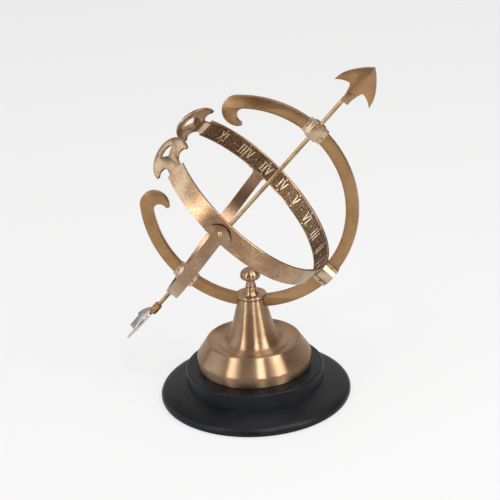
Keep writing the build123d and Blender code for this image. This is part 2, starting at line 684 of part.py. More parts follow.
def tail_fletching():
    """Folded sheet tail with two barbs on each side, in the ferrule's slot."""
    spine = FERRULE_START + FERRULE_LENGTH - TAIL_TONGUE
    end = FERRULE_START + FERRULE_LENGTH + TAIL_LENGTH - TAIL_SWALLOW
    return tail_vane(1) + tail_vane(-1) + rod_cylinder(TAIL_THICKNESS / 2, -end, -spine)


def thrust_collar():
    """Rounded collar fixed on the rod between the south saddle and the strap."""
    start = SADDLE_TOP + END_CLEARANCE
    end = STRAP_REACH - END_CLEARANCE
    collar = rod_cylinder(COLLAR_RADIUS, -end, -start)
    collar = fillet(collar.edges().filter_by(GeomType.CIRCLE), COLLAR_ROUND)
    return collar - rod_cylinder(ROD_RADIUS, -end, -start)


def pole_nut():
    """Round nut on the rod, outside the strap."""
    start = STRAP_REACH + STRAP_THICKNESS + 2 * END_CLEARANCE
    nut = rod_cylinder(NUT_RADIUS, -start - NUT_LENGTH, -start)
    return nut - rod_cylinder(ROD_RADIUS, -start - NUT_LENGTH, -start)


PARTS = {
    "wood_base": wood_base,
    "felt_pad": felt_pad,
    "foot_shell": foot_shell,
    "bell_column": bell_column,
    "neck_cap": neck_cap,
    "cap_pins": pin_holes,
    "tie_bolt": tie_bolt,
    "tie_washer": tie_washer,
    "clamp_knob": clamp_knob,
    "clamp_stud": clamp_stud,
    "meridian_ring": meridian_ring,
    "north_saddle": lambda: pole_saddle(1),
    "south_saddle": lambda: pole_saddle(-1),
    "equator_saddle": equator_saddle,
    "saddle_pins": saddle_pins,
    "equator_band": equator_band,
    "band_rivet": band_rivet,
    "hour_strap": hour_strap,
    "strap_screws": strap_screws,
    "gnomon_rod": gnomon_rod,
    "arrowhead": arrowhead,
    "tail_ferrule": tail_ferrule,
    "tail_fletching": tail_fletching,
    "thrust_collar": thrust_collar,
    "pole_nut": pole_nut,
}

os.makedirs("parts", exist_ok=True)
for name, make in PARTS.items():
    export_step(make(), f"parts/{name}.step")
    print("wrote", name)
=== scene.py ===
"""Desk armillary sphere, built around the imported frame. Metres, +Z up."""

from math import asin, atan2, cos, degrees, pi, radians, sin, sqrt

import bpy
from mathutils import Matrix, Vector


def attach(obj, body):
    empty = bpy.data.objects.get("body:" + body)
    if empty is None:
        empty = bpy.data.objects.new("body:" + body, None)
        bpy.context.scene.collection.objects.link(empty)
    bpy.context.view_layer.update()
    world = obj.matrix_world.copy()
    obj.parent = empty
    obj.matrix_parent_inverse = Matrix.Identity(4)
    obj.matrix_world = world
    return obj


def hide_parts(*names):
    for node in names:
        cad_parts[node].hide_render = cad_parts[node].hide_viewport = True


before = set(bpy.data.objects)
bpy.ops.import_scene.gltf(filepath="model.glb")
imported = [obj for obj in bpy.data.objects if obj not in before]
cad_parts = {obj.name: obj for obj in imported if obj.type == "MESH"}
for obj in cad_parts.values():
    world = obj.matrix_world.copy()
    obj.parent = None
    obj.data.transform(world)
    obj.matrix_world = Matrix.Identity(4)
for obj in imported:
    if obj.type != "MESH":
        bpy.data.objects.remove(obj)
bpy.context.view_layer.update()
MM = 0.001

# ------------------------------------------------------------------ studio
# A pale round floor with three tall soft boxes round the camera, a pale wall to the left,
# a lighter back wall and a dim room between, which brass shows as light and dark streaks.
PALE = 0.871
VIEW_AZIMUTH = radians(14.03)
VIEW_ELEVATION = radians(22.84)
VIEW_ROLL = radians(-2.97)
VIEW_DISTANCE = 1143.07 * MM
VIEW_HEIGHT = 122.59 * MM
VIEW_ASIDE = 0.86 * MM
LENS = 107.07
FLOOR_RADIUS = 4.0
FLOOR_GLOW = 0.69
FLOOR_COLOUR = (0.18, 0.18, 0.18, 1)
ROOM_LIGHT = (0.20, 0.187, 0.175)
HORIZON_LIGHT = (0.13, 0.11, 0.10)
SKY_LIGHT = (0.62, 0.61, 0.60)
WALL_LIGHT = (1.75, 1.95, 2.2)
WALL_AZIMUTH = radians(-93)
BACK_LIGHT = (0.85, 0.80, 0.77)

bpy.context.scene.view_settings.view_transform = "Standard"


class Wire:
    """An output of a shader node. Sums of wires add Math nodes, and make() adds any other."""

    def __init__(self, tree, out=None):
        self.tree = tree
        self.out = out

    def make(self, kind, settings=None, inputs=None, out=0):
        node = self.tree.nodes.new(kind)
        for key, value in (settings or {}).items():
            setattr(node, key, value)
        for key, value in (inputs or {}).items():
            if isinstance(value, Wire):
                self.tree.links.new(value.out, node.inputs[key])
            else:
                node.inputs[key].default_value = value
        return Wire(self.tree, node.outputs[out] if len(node.outputs) else None)

    def math(self, operation, *terms):
        return self.make("ShaderNodeMath", {"operation": operation}, dict(enumerate(terms)))

    def __add__(self, other):
        return self.math("ADD", self, other)

    def __radd__(self, other):
        return self.math("ADD", other, self)

    def __sub__(self, other):
        return self.math("SUBTRACT", self, other)

    def __rsub__(self, other):
        return self.math("SUBTRACT", other, self)

    def __mul__(self, other):
        return self.math("MULTIPLY", self, other)

    def __rmul__(self, other):
        return self.math("MULTIPLY", other, self)

    def dot(self, vector):
        inputs = {0: self, 1: vector}
        return self.make("ShaderNodeVectorMath", {"operation": "DOT_PRODUCT"}, inputs, out="Value")


def ramp(wire, low, high):
    """0 below low, 1 above high, smooth between."""
    return wire.make(
        "ShaderNodeMapRange",
        {"interpolation_type": "SMOOTHSTEP"},
        {"Value": wire, "From Min": low, "From Max": high},
    )


def mix(amount, first, second):
    """A colour between two, by a wire from 0 to 1."""
    inputs = {"Factor": amount, 6: first, 7: second}
    return amount.make("ShaderNodeMix", {"data_type": "RGBA"}, inputs, out=2)


def light_room():
    """A world lit by height and by side: dim at the horizon, pale to the left, behind and above."""
    world = bpy.data.worlds.new("studio")
    world.use_nodes = True
    world.node_tree.nodes.clear()
    wire = Wire(world.node_tree)
    way = wire.make("ShaderNodeTexCoord", out="Generated")
    height = wire.make("ShaderNodeSeparateXYZ", {}, {0: way}, out="Z")
    room = mix(ramp(height, 0.03, 0.16), (*HORIZON_LIGHT, 1), (*ROOM_LIGHT, 1))
    room = mix(ramp(height, 0.45, 0.95), room, (*SKY_LIGHT, 1))
    angle = VIEW_AZIMUTH + WALL_AZIMUTH
    facing = way.dot((sin(angle), -cos(angle), 0))
    behind = way.dot((-sin(VIEW_AZIMUTH), cos(VIEW_AZIMUTH), 0))
    room = mix(ramp(behind, 0.35, 0.75) * ramp(height, 0.12, 0.25), room, (*BACK_LIGHT, 1))
    room = mix(ramp(facing, 0.80, 0.90) * ramp(height, 0.09, 0.16), room, (*WALL_LIGHT, 1))
    seen = wire.make("ShaderNodeLightPath", out="Is Camera Ray")
    colour = mix(seen, room, (PALE, PALE, PALE, 1))
    background = wire.make("ShaderNodeBackground", {}, {"Color": colour, "Strength": 1.0})
    wire.make("ShaderNodeOutputWorld", {}, {"Surface": background})
    bpy.context.scene.world = world


def soft_box(name, azimuth, elevation, distance, width, height, power):
    """An area light that faces the sphere, at an azimuth to the right of the camera's."""
    angle = VIEW_AZIMUTH + radians(azimuth)
    rise = radians(elevation)
    way = Vector((sin(angle) * cos(rise), -cos(angle) * cos(rise), sin(rise)))
    data = bpy.data.lights.new(name, "AREA")
    data.shape = "RECTANGLE"
    data.size = width
    data.size_y = height
    data.energy = power
    lamp = bpy.data.objects.new(name, data)
    lamp.location = way * distance + Vector((0, 0, VIEW_HEIGHT))
    lamp.rotation_mode = "QUATERNION"
    lamp.rotation_quaternion = (-way).to_track_quat("-Z", "Y")
    bpy.context.collection.objects.link(lamp)


def pale_floor():
    """The floor, which glows a little so that it stays even to its far edge."""
    bpy.ops.object.select_all(action="DESELECT")
    bpy.ops.mesh.primitive_circle_add(
        vertices=96, radius=FLOOR_RADIUS, fill_type="NGON", location=(0, 0, -0.1 * MM)
    )
    floor = bpy.context.object
    floor.name = "floor"
    made = bpy.data.materials.new("pale_floor")
    made.use_nodes = True
    shader = made.node_tree.nodes["Principled BSDF"]
    shader.inputs["Base Color"].default_value = FLOOR_COLOUR
    shader.inputs["Roughness"].default_value = 0.9
    shader.inputs["Specular IOR Level"].default_value = 0.1
    shader.inputs["Emission Color"].default_value = (1, 1, 1, 1)
    shader.inputs["Emission Strength"].default_value = FLOOR_GLOW
    floor.data.materials.append(made)


def set_camera():
    """The camera, turned about its own line of sight by the roll."""
    away = Vector((
        sin(VIEW_AZIMUTH) * cos(VIEW_ELEVATION),
        -cos(VIEW_AZIMUTH) * cos(VIEW_ELEVATION),
        sin(VIEW_ELEVATION),
    ))
    right = Vector((cos(VIEW_AZIMUTH), sin(VIEW_AZIMUTH), 0))
    up = away.cross(right)
    across = right * cos(VIEW_ROLL) + up * sin(VIEW_ROLL)
    top = up * cos(VIEW_ROLL) - right * sin(VIEW_ROLL)
    place = Vector((0, 0, VIEW_HEIGHT)) + right * VIEW_ASIDE + away * VIEW_DISTANCE
    data = bpy.data.cameras.new("camera")
    data.lens = LENS
    data.sensor_width = 36
    data.clip_start = 0.01
    camera = bpy.data.objects.new("camera", data)
    turn = Matrix((across, top, away)).transposed().to_4x4()
    camera.matrix_world = Matrix.Translation(place) @ turn
    bpy.context.collection.objects.link(camera)
    bpy.context.scene.camera = camera


light_room()
soft_box("left_box", -52, 28, 1.5, 0.33, 1.5, 9.4)
soft_box("middle_box", 14, 40, 1.6, 0.34, 1.4, 12)
soft_box("right_box", 55, 35, 1.5, 0.46, 1.5, 15)
soft_box("top_box", 150, 70, 1.7, 0.9, 0.9, 2)
pale_floor()
set_camera()


# ------------------------------------------------------------------ wood base
# Turned hardwood, stained black and waxed: a wide disc with a rounded edge and a raised
# step, with a felt pad glued underneath. One lathe profile, spun round the stand's axis.
FELT_RADIUS = 68.0
FELT_TOP = 0.6
BASE_RADIUS = 75.5
STEP_RADIUS = 54.5
STEP_FOOT = 13.0
STEP_TOP = 25.3
STEP_NOSE = 1.8
BOLT_HOLE = 4.0


def only(piece):
    """Selects one object and nothing else."""
    bpy.ops.object.select_all(action="DESELECT")
    piece.select_set(True)
    bpy.context.view_layer.objects.active = piece


def closed(piece, angle=35):
    """Merges doubled vertices, turns the faces outward and smooths all but hard edges."""
    only(piece)
    bpy.ops.object.mode_set(mode="EDIT")
    bpy.ops.mesh.select_all(action="SELECT")
    bpy.ops.mesh.remove_doubles(threshold=0.002 * MM)
    bpy.ops.mesh.normals_make_consistent(inside=False)
    bpy.ops.object.mode_set(mode="OBJECT")
    bpy.ops.object.shade_smooth_by_angle(angle=radians(angle))
    return piece


def chain(name, points):
    """A line of vertices through points in millimetres, extruded from a single vertex."""
    bpy.ops.object.select_all(action="DESELECT")
    bpy.ops.mesh.primitive_plane_add(size=MM)
    piece = bpy.context.object
    piece.name = name
    piece.data.name = name
    bpy.ops.object.mode_set(mode="EDIT")
    bpy.ops.mesh.select_mode(type="VERT")
    bpy.ops.mesh.select_all(action="SELECT")
    bpy.ops.mesh.merge(type="CENTER")
    bpy.ops.transform.translate(value=Vector(points[0]) * MM)
    for before, after in zip(points, points[1:]):
        step = (Vector(after) - Vector(before)) * MM
        bpy.ops.mesh.extrude_vertices_move(TRANSFORM_OT_translate={"value": step})
    return piece


def arc(centre, radius, start, end, count):
    """Points on an arc in a plane, from start to end degrees."""
    angles = [radians(start + (end - start) * i / count) for i in range(count + 1)]
    return [(centre[0] + radius * cos(a), centre[1] + radius * sin(a)) for a in angles]


def smooth(points, count=6):
    """Points on a smooth curve through the given ones."""
    ends = [points[0], *points, points[-1]]
    line = []
    for a, b, c, d in zip(ends, ends[1:], ends[2:], ends[3:]):
        for i in range(count):
            t = i / count
            line.append(tuple(
                0.5 * (2 * q + (r - p) * t + (2 * p - 5 * q + 4 * r - s) * t * t
                       + (3 * q - p - 3 * r + s) * t ** 3)
                for p, q, r, s in zip(a, b, c, d)
            ))
    return line + [tuple(points[-1])]


def turned(name, profile, steps=128, angle=35):
    """A lathe piece about Z from a profile of (radius, height) in millimetres."""
    piece = chain(name, [(radius, 0, height) for radius, height in profile])
    bpy.ops.mesh.select_all(action="SELECT")
    bpy.ops.mesh.spin(steps=steps, angle=2 * pi, center=(0, 0, 0), axis=(0, 0, 1), use_auto_merge=True)
    bpy.ops.object.mode_set(mode="OBJECT")
    return closed(piece, angle)


def material(name):
    """A new material, its Principled node and the Wire of its Object coordinates."""
    made = bpy.data.materials.new(name)
    made.use_nodes = True
    shader = made.node_tree.nodes["Principled BSDF"]
    wire = Wire(made.node_tree)
    return made, shader, wire.make("ShaderNodeTexCoord", out="Object")


def noise(place, scale, detail=3.0, roughness=0.5):
    """Cloudy noise from 0 to 1; a higher scale makes it finer."""
    inputs = {"Vector": place, "Scale": scale, "Detail": detail, "Roughness": roughness}
    return place.make("ShaderNodeTexNoise", {}, inputs, out="Fac")


def lathe_lines(place, per_metre):
    """Fine rings that follow the tool: noise along radius plus height."""
    x, y, z = (place.make("ShaderNodeSeparateXYZ", {}, {0: place}, out=name) for name in "XYZ")
    squared = x * x + y * y
    along = (squared.math("SQRT", squared) + z * 1.3) * per_metre
    inputs = {"W": along, "Scale": 1.0, "Detail": 2.0}
    return place.make("ShaderNodeTexNoise", {"noise_dimensions": "1D"}, inputs, out="Fac")


def drive(shader, **inputs):
    """Links wires, or sets plain values, on the Principled node's inputs."""
    for key, value in inputs.items():
        socket = shader.inputs[key.replace("_", " ")]
        if isinstance(value, Wire):
            value.tree.links.new(value.out, socket)
        else:
            socket.default_value = value


def bump(height, distance, strength=1.0):
    """A normal bent by a height wire, for wear too fine to model."""
    return height.make("ShaderNodeBump", {}, {"Height": height, "Distance": distance, "Strength": strength})


def black_wood():
    """Black stain under wax, a shade lighter where it is worn, with faint lathe rings."""
    made, shader, place = material("black_wood")
    rings = lathe_lines(place, 2600)
    cloud = noise(place, 42, 4)
    dust = noise(place, 700, 2)
    worn = ramp(cloud * 0.7 + dust * 0.3, 0.42, 0.62)
    drive(
        shader,
        Base_Color=mix(worn, (0.0045, 0.005, 0.006, 1), (0.010, 0.0105, 0.012, 1)),
        Roughness=0.27 + cloud * 0.10 + rings * 0.06,
        Specular_IOR_Level=0.16,
        Normal=bump(rings * 0.6 + dust * 0.4, 0.03 * MM, 0.5),
    )
    return made


def finish(piece, look, body, slot, *nodes):
    """Gives a finished piece its material, name and body, and hides the CAD nodes it stands for. The slot
    is not used.
    """
    piece.data.materials.clear()
    piece.data.materials.append(look)
    piece.name = f"{nodes[0]}_piece"
    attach(piece, body)
    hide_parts(*nodes)


base_profile = [
    (BOLT_HOLE, FELT_TOP + 0.02), (BASE_RADIUS - 1.4, FELT_TOP + 0.02),
    (BASE_RADIUS - 0.4, 1.1), (BASE_RADIUS, 2.2),
    *smooth([
        (BASE_RADIUS, 3.8), (BASE_RADIUS - 0.9, 5.7), (BASE_RADIUS - 3.2, 7.7),
        (BASE_RADIUS - 8.0, 9.7), (BASE_RADIUS - 13.5, 11.1),
    ]),
    (STEP_RADIUS + 0.7, STEP_FOOT - 0.15), (STEP_RADIUS + 0.15, STEP_FOOT + 0.05),
    (STEP_RADIUS, STEP_FOOT + 0.7),
    *arc((STEP_RADIUS - STEP_NOSE, STEP_TOP - STEP_NOSE), STEP_NOSE, 0, 90, 8),
    (BOLT_HOLE, STEP_TOP), (BOLT_HOLE, FELT_TOP + 0.02),
]
wood = black_wood()
wood_base = turned("wood_base", base_profile)
finish(wood_base, wood, "stand", "black_wood", "wood_base")

felt, shader, place = material("felt")
fuzz = noise(place, 2200, 4)
drive(
    shader,
    Base_Color=mix(ramp(fuzz, 0.3, 0.7), (0.006, 0.007, 0.007, 1), (0.02, 0.022, 0.021, 1)),
    Roughness=0.95,
    Normal=bump(fuzz, 0.15 * MM, 0.8),
)
felt_pad = turned("felt_pad", [
    (0, 0), (FELT_RADIUS - 0.2, 0), (FELT_RADIUS, 0.2), (FELT_RADIUS, FELT_TOP), (0, FELT_TOP),
])
finish(felt_pad, felt, "stand", "felt", "felt_pad")

# ------------------------------------------------------------------ foot and bell column
# Spun and turned brass, antiqued brown and brushed on the lathe: a conical foot with a
# crease low down and a dished top, and the trumpet column that stands in the dish.
FOOT_RADIUS = 43.6
FOOT_BORE = 3.3
CREASE_RADIUS = 45.15
CREASE_HEIGHT = 34.65
RIM_RADIUS = 37.3
RIM_HEIGHT = 47.6
DISH_FLOOR = 45.2
BELL_RADIUS = 27.5
RING_CENTRE = Vector((0.9, 0, 161.1)) * MM
NECK_TOP = 84.4
CAP_TOP = 86.5
SLOT_RADIUS = 85.4
SLOT_WIDTH = 4.8
SLOT_DEPTH = 10.0
STREAK = 0.06
ANTIQUE_BRIGHT = (0.50, 0.335, 0.205)
ANTIQUE_DARK = (0.30, 0.175, 0.10)


def antique_brass(name, bright, dark, rough, lines=None, patchy=42, brushed=0.0):
    """Antique brass: bright where it is rubbed, dark in patches, with lathe lines if asked."""
    made, shader, place = material(name)
    cloud = noise(place, patchy, 5, 0.55)
    fine = noise(place, 520, 3)
    worn = ramp(cloud * 0.75 + fine * 0.25, 0.27, 0.70)
    colour = mix(worn, (*dark, 1), (*bright, 1))
    height = fine * 0.5
    rough_wire = rough + cloud * 0.10 + fine * 0.05
    if lines:
        rings = lathe_lines(place, lines)
        colour = mix(ramp(rings, 0.35, 0.7) * 0.30, colour, (*dark, 1))
        height = height + rings
        rough_wire = rough_wire + rings * STREAK
    drive(
        shader,
        Base_Color=colour,
        Metallic=1.0,
        Roughness=rough_wire,
        Anisotropic=brushed,
        Anisotropic_Rotation=0.25,
        Normal=bump(height, 0.012 * MM, 0.6),
    )
    return made


turned_brass = antique_brass(
    "turned_brass", ANTIQUE_BRIGHT, ANTIQUE_DARK, 0.24, lines=4200, brushed=1.0
)
foot_profile = [
    (FOOT_BORE, STEP_TOP + 0.02), (FOOT_RADIUS - 0.5, STEP_TOP + 0.02), (FOOT_RADIUS, STEP_TOP + 0.4),
    (CREASE_RADIUS - 0.05, CREASE_HEIGHT - 0.4), (CREASE_RADIUS - 0.35, CREASE_HEIGHT),
    (CREASE_RADIUS - 0.05, CREASE_HEIGHT + 0.45),
    *arc((RIM_RADIUS - 0.85, RIM_HEIGHT - 0.9), 0.9, 20, 120, 5),
    *smooth([(35.4, 47.0), (33.2, 45.95), (30.6, 45.35), (28.2, DISH_FLOOR)]),
    (FOOT_BORE, DISH_FLOOR), (FOOT_BORE, STEP_TOP + 0.02),
]
foot_shell = turned("foot_shell", foot_profile, steps=160, angle=24)
finish(foot_shell, turned_brass, "stand", "antique_brass", "foot_shell")

bell_profile = [
    (0, DISH_FLOOR + 0.02), (BELL_RADIUS - 0.1, DISH_FLOOR + 0.02), (BELL_RADIUS, DISH_FLOOR + 0.3),
    *smooth([
        (BELL_RADIUS - 0.7, DISH_FLOOR + 0.6), (24.0, 46.6), (21.5, 48.2), (18.0, 54.0),
        (15.6, 62.0), (13.4, 71.0), (12.0, 76.0), (11.0, 81.0),
    ]),
    (10.45, 83.2), (10.0, 83.4), (9.9, NECK_TOP), (0, NECK_TOP),
]
bell_column = turned("bell_column", bell_profile, steps=160, angle=40)


def cut(piece, cutter):
    """Takes one solid out of another, and drops the cutter."""
    only(piece)
    tool = piece.modifiers.new("cut", "BOOLEAN")
    tool.operation = "DIFFERENCE"
    tool.solver = "MANIFOLD"
    tool.object = cutter
    bpy.ops.object.modifier_apply(modifier="cut")
    bpy.data.objects.remove(cutter)


def ring_slot():
    """The slot that the latitude ring slides in, as a solid to take away."""
    bpy.ops.object.select_all(action="DESELECT")
    bpy.ops.mesh.primitive_cylinder_add(
        vertices=256, radius=SLOT_RADIUS * MM, depth=SLOT_WIDTH * MM,
        location=RING_CENTRE, rotation=(pi / 2, 0, 0),
    )
    slot = bpy.context.object
    bpy.ops.object.mode_set(mode="EDIT")
    bpy.ops.mesh.select_all(action="DESELECT")
    bpy.ops.mesh.select_mode(type="FACE")
    bpy.ops.object.mode_set(mode="OBJECT")
    for face in slot.data.polygons:
        face.select = len(face.vertices) > 4
    bpy.ops.object.mode_set(mode="EDIT")
    bpy.ops.mesh.inset(thickness=SLOT_DEPTH * MM)
    bpy.ops.mesh.bridge_edge_loops()
    bpy.ops.object.mode_set(mode="OBJECT")
    return slot


cut(bell_column, ring_slot())
closed(bell_column, 40)
finish(bell_column, turned_brass, "stand", "antique_brass", "bell_column")

# ------------------------------------------------------------------ cap and clamp knob
# A turned cap dowelled over the slotted neck, and the mushroom-headed thumb knob whose
# stud screws down through the cap's boss and grips the ring.
CAP_RADIUS = 11.9
BOSS_TOP = CAP_TOP + 6.0
knob_brass = antique_brass(
    "knob_brass", ANTIQUE_BRIGHT, (0.27, 0.16, 0.10), 0.20, lines=3000, brushed=0.9
)
cap_profile = [
    (0, NECK_TOP + 0.02), (CAP_RADIUS - 0.7, NECK_TOP + 0.02), (CAP_RADIUS - 0.35, NECK_TOP + 0.25),
    (CAP_RADIUS, NECK_TOP + 0.7), (CAP_RADIUS, CAP_TOP - 0.5), (CAP_RADIUS - 0.3, CAP_TOP - 0.1),
    (CAP_RADIUS - 0.7, CAP_TOP), (6.4, CAP_TOP),
    *smooth([(6.1, CAP_TOP + 0.5), (5.2, CAP_TOP + 1.5), (4.6, CAP_TOP + 3.2), (4.25, CAP_TOP + 5.7)]),
    (4.0, BOSS_TOP), (0, BOSS_TOP),
]
neck_cap = turned("neck_cap", cap_profile, angle=30)
cut(neck_cap, ring_slot())
closed(neck_cap, 30)
finish(neck_cap, knob_brass, "stand", "antique_brass", "neck_cap")

knob_profile = [
    (0, CAP_TOP + 6.3), (3.8, CAP_TOP + 6.3), (4.1, CAP_TOP + 6.6),
    *smooth([(4.05, CAP_TOP + 7.0), (3.5, CAP_TOP + 8.8), (3.5, CAP_TOP + 10.6)]),
    (4.2, CAP_TOP + 11.1), (4.3, CAP_TOP + 11.6), (4.0, CAP_TOP + 12.1),
    *smooth([(5.2, CAP_TOP + 12.4), (7.1, CAP_TOP + 13.0), (7.9, CAP_TOP + 14.2), (7.95, CAP_TOP + 15.6),
             (7.3, CAP_TOP + 17.8), (5.7, CAP_TOP + 19.6), (3.4, CAP_TOP + 20.6), (0, CAP_TOP + 20.9)]),
]
clamp_knob = turned("clamp_knob", knob_profile, steps=96, angle=40)
finish(clamp_knob, knob_brass, "clamp", "antique_brass", "clamp_knob")

# ------------------------------------------------------------------ latitude ring
# Cast brass bar bent to an open ring, linished flat, with a crescent curling inwards at
# each end. A flat outline, given its thickness and eased edges, stood in the XZ plane.
RING_RADIUS = 85.3
RING_INNER = 75.6
RING_MIDDLE = (RING_RADIUS + RING_INNER) / 2
RING_THICKNESS = 4.4
LEFT_HOOK = 183.1
TOP_HOOK = 93.2
HOOK_RADIUS = 11.6
EYE_RADIUS = 5.8
EYE_SHIFT = 4.1
TIP_SHIFT = 2.1


def frame_of(origin, along, up):
    """A matrix whose X goes along, whose Z goes up, at a place in metres."""
    z = up.normalized()
    x = (along - z * along.dot(z)).normalized()
    y = z.cross(x)
    return Matrix.Translation(origin) @ Matrix((x, y, z)).transposed().to_4x4()


def plate(name, loops, thickness, edge, matrix):
    """A flat plate with eased edges, from closed loops of points in millimetres."""
    curve = bpy.data.curves.new(name, "CURVE")
    curve.dimensions = "2D"
    curve.fill_mode = "BOTH"
    curve.extrude = (thickness / 2 - edge) * MM
    curve.bevel_depth = edge * MM
    curve.bevel_resolution = 1
    curve.offset = -edge * MM
    for loop in loops:
        spline = curve.splines.new("POLY")
        spline.points.add(len(loop) - 1)
        for point, (x, y) in zip(spline.points, loop):
            point.co = (x * MM, y * MM, 0, 1)
        spline.use_cyclic_u = True
    piece = bpy.data.objects.new(name, curve)
    bpy.context.collection.objects.link(piece)
    only(piece)
    bpy.ops.object.convert(target="MESH")
    piece = bpy.context.object
    piece.data.transform(matrix)
    return closed(piece, 30)


def at(radius, angle):
    return (radius * cos(radians(angle)), radius * sin(radians(angle)))


def hook(angle, way):
    """Outline of a crescent from the ring's outside to its inside; way is 1 to the bar."""
    middle = RING_RADIUS - HOOK_RADIUS
    eye_middle = RING_INNER - EYE_RADIUS
    eye = angle + way * EYE_SHIFT
    tip = angle + way * TIP_SHIFT
    lean = radians(TIP_SHIFT)
    reach = middle * cos(lean) - sqrt(HOOK_RADIUS ** 2 - (middle * sin(lean)) ** 2)
    x, y = at(reach, tip)
    centre = at(middle, angle)
    last = degrees(atan2(y - centre[1], x - centre[0]))
    turn = way * ((angle - last) * way % 360)
    outer = arc(centre, HOOK_RADIUS, angle, angle - turn, 40)
    lean = radians(EYE_SHIFT - TIP_SHIFT)
    reach = eye_middle * cos(lean) - sqrt(EYE_RADIUS ** 2 - (eye_middle * sin(lean)) ** 2)
    x, y = at(reach, tip)
    centre = at(eye_middle, eye)
    first = degrees(atan2(y - centre[1], x - centre[0]))
    turn = way * ((eye - first) * way % 360)
    return outer + arc(centre, EYE_RADIUS, eye - turn, eye, 28)


ring_outline = hook(LEFT_HOOK, 1)
ring_outline += arc((0, 0), RING_INNER, LEFT_HOOK + EYE_SHIFT, 360 + TOP_HOOK - EYE_SHIFT, 180)[1:-1]
ring_outline += list(reversed(hook(TOP_HOOK, -1)))
ring_outline += arc((0, 0), RING_RADIUS, 360 + TOP_HOOK, LEFT_HOOK, 180)[1:-1]
ring_frame = frame_of(RING_CENTRE, Vector((1, 0, 0)), Vector((0, -1, 0)))
cast_brass = antique_brass("cast_brass", (0.44, 0.27, 0.135), (0.27, 0.14, 0.062), 0.24, patchy=30)
meridian_ring = plate("meridian_ring", [ring_outline], RING_THICKNESS, 0.45, ring_frame)
finish(meridian_ring, cast_brass, "sphere", "cast_brass", "meridian_ring")

# ------------------------------------------------------------------ saddles
# Cast brass sleeves pinned on the ring: one at each pole, where the rod runs through, and
# one at the equator, hollowed for the hour band. Each is a block cut through for the ring.
LATITUDE_DEGREES = 48.63
LATITUDE = radians(LATITUDE_DEGREES)
ROD_WAY = Vector((cos(LATITUDE), 0, sin(LATITUDE)))
ROD_SIDE = Vector((sin(LATITUDE), 0, -cos(LATITUDE)))
ROD_OFFSET = 1.34
ROD_CENTRE = RING_CENTRE + ROD_SIDE * ROD_OFFSET * MM
ACROSS = Vector((0, 1, 0))
BAND_TILT = radians(45.57)
BAND_SKEW = radians(3.18)
BAND_AXIS = Vector((cos(BAND_TILT) * cos(BAND_SKEW), cos(BAND_TILT) * sin(BAND_SKEW), sin(BAND_TILT)))
BAND_NORTH = 2.29
BAND_ABOVE = 2.6
BAND_CENTRE = RING_CENTRE + (ROD_WAY * BAND_NORTH - ROD_SIDE * BAND_ABOVE) * MM
BAND_RADIUS = 77.4
BAND_INNER = 75.4
BAND_WIDTH = 16.1
BAND_TO_SADDLE = ACROSS.cross(BAND_AXIS).normalized()
BAND_FRAME = frame_of(BAND_CENTRE, BAND_TO_SADDLE, BAND_AXIS)
SADDLE_HEIGHT = 11.0
POLE_LEAN = degrees(asin(ROD_OFFSET / RING_MIDDLE))
SADDLE_ANGLES = {
    "north_saddle": LATITUDE_DEGREES - POLE_LEAN,
    "south_saddle": LATITUDE_DEGREES + 180 + POLE_LEAN,
    "equator_saddle": -42.7,
}


def bar(name, size, matrix, edge=0.0):
    """A box of a size in millimetres, with bevelled edges."""
    bpy.ops.object.select_all(action="DESELECT")
    bpy.ops.mesh.primitive_cube_add(size=1)
    piece = bpy.context.object
    piece.name = name
    bpy.ops.object.mode_set(mode="EDIT")
    bpy.ops.transform.resize(value=Vector(size) * MM)
    if edge:
        bpy.ops.mesh.bevel(offset=edge * MM, segments=2, affect="EDGES")
    bpy.ops.object.mode_set(mode="OBJECT")
    piece.data.transform(matrix)
    return piece


def hollow_for_band():
    """A solid the size of the band's outside, to take away."""
    bpy.ops.object.select_all(action="DESELECT")
    bpy.ops.mesh.primitive_cylinder_add(vertices=256, radius=(BAND_RADIUS + 0.05) * MM, depth=40 * MM)
    tool = bpy.context.object
    tool.data.transform(BAND_FRAME)
    return tool


# The saddles get a paler, brighter copy of the ring's cast brass: a painted highlight for the pale light
# they reflect.
saddle_brass_painted_highlight = antique_brass("saddle_brass_painted_highlight", (0.62, 0.49, 0.34), (0.42, 0.28, 0.17), 0.23, patchy=90)
flank = [(8.6, 3.3), (6.3, 3.3), (5.9, 3.5), (3.9, 6.7), (3.5, 6.9)]
saddle_outline = flank + [(-x, y) for x, y in reversed(flank)]
saddle_outline += [(-x, -y) for x, y in saddle_outline]
for name, angle in SADDLE_ANGLES.items():
    out = Vector((cos(radians(angle)), 0, sin(radians(angle))))
    middle = RING_CENTRE + out * RING_MIDDLE * MM
    frame_here = frame_of(middle, out.cross(ACROSS), out)
    saddle = plate(name, [saddle_outline], SADDLE_HEIGHT, 0.35, frame_here)
    channel = (40, RING_THICKNESS + 0.02, RING_RADIUS - RING_INNER + 0.02)
    cut(saddle, bar("channel", channel, frame_here))
    if name == "equator_saddle":
        cut(saddle, hollow_for_band())
    closed(saddle, 30)
    finish(saddle, saddle_brass_painted_highlight, "sphere", "cast_brass", name)

# ------------------------------------------------------------------ hour band
# Brass strip cast with rims, a dark recess, and hour figures, dots and stops rubbed bright.
# It is rolled to an open hoop and riveted to the equator saddle, and each end carries on
# straight as a flat anchor.
BAND_NEAR_END = -137.3
BAND_FAR_END = 139.3
BAND_RIM = 1.0
BAND_RECESS = 0.55
NUMERAL_HEIGHT = 8.8
STROKE = 1.3
THIN_STROKE = 0.8
SERIF = 0.8
HOURS = [
    ("XII", -8.5), ("I", 8), ("II", 21.5), ("III", 35), ("IV", 48.3), ("V", 62.3), ("VI", 75.2),
    ("VII", 89.3), ("VIII", 105.8), ("IX", 124.2), ("XI", -24), ("X", -39), ("IX", -54),
    ("VIII", -70), ("VII", -87), ("VI", -104), ("V", -120),
]
GLYPH_PITCH = {"I": 2.7, "V": 5.0, "X": 4.9}


